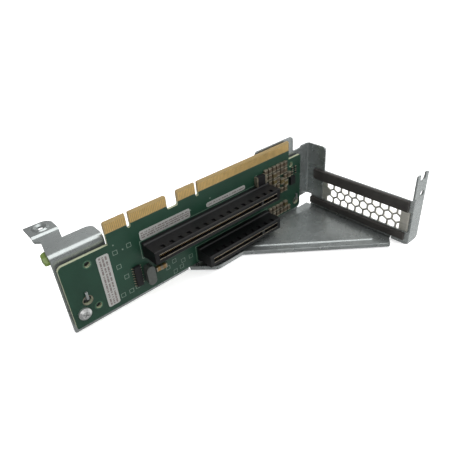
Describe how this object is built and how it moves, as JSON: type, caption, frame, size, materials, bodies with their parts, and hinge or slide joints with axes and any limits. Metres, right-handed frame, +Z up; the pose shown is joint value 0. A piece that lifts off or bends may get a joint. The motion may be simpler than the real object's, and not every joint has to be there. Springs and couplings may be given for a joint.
{
  "type": "pcie riser card",
  "caption": "Riser card with gold edge tongues and card slots on a bent sheet-metal cage with a perforated slot filler and screw tab.",
  "frame": {"origin": "on the underside of the cage's base plate, in the board's front plane, below the key of the two card slots", "axes": "+X along the board to the I/O wall, +Y from the slots to the back wall, +Z up through the gold tongues"},
  "size_m": [0.1896, 0.1086, 0.0542],
  "materials": {
    "bracket_steel": "galvanised sheet, fine spangle, satin",
    "board_green": "glass-epoxy board with satin green solder mask",
    "contact_gold": "gold-plated contact pads, satin",
    "slot_black": "moulded black plastic",
    "spring_contact": "gold-flashed spring contacts",
    "filler_nickel": "nickel-plated sheet, satin",
    "gasket_fabric": "conductive fabric over foam, dark",
    "screw_steel": "bright zinc plating",
    "guide_olive": "moulded olive-green plastic",
    "label_paper": "pale coated paper",
    "chip_black": "moulded package",
    "lead_tin": "tinned metal, satin",
    "ceramic_tan": "tan ceramic body with tinned ends",
    "tantalum_brown": "olive-brown moulded body"
  },
  "bodies": {
    "root": {"main_bracket": "bracket_steel", "riser_board": "board_green", "fingers_x4_front": "contact_gold", "fingers_x4_back": "contact_gold", "fingers_x16_front": "contact_gold", "fingers_x16_back": "contact_gold", "slot_x16_housing": "slot_black", "slot_x16_contacts": "spring_contact", "slot_x8_housing": "slot_black", "slot_x8_contacts": "spring_contact", "slot_filler": "filler_nickel", "gasket_upper": "gasket_fabric", "gasket_lower": "gasket_fabric", "board_screw": "screw_steel", "plastic_guide": "guide_olive", "label_tall": "label_paper", "label_wide": "label_paper", "label_narrow": "label_paper", "clock_chip": "chip_black", "clock_chip_leads": "lead_tin", "crystal_can": "lead_tin", "power_inductor": "chip_black", "regulator_chip": "chip_black", "ceramic_capacitors": "ceramic_tan", "tantalum_capacitors": "tantalum_brown", "bulk_capacitors": "ceramic_tan", "chip_resistors": "chip_black"}
  },
  "joints": []
}
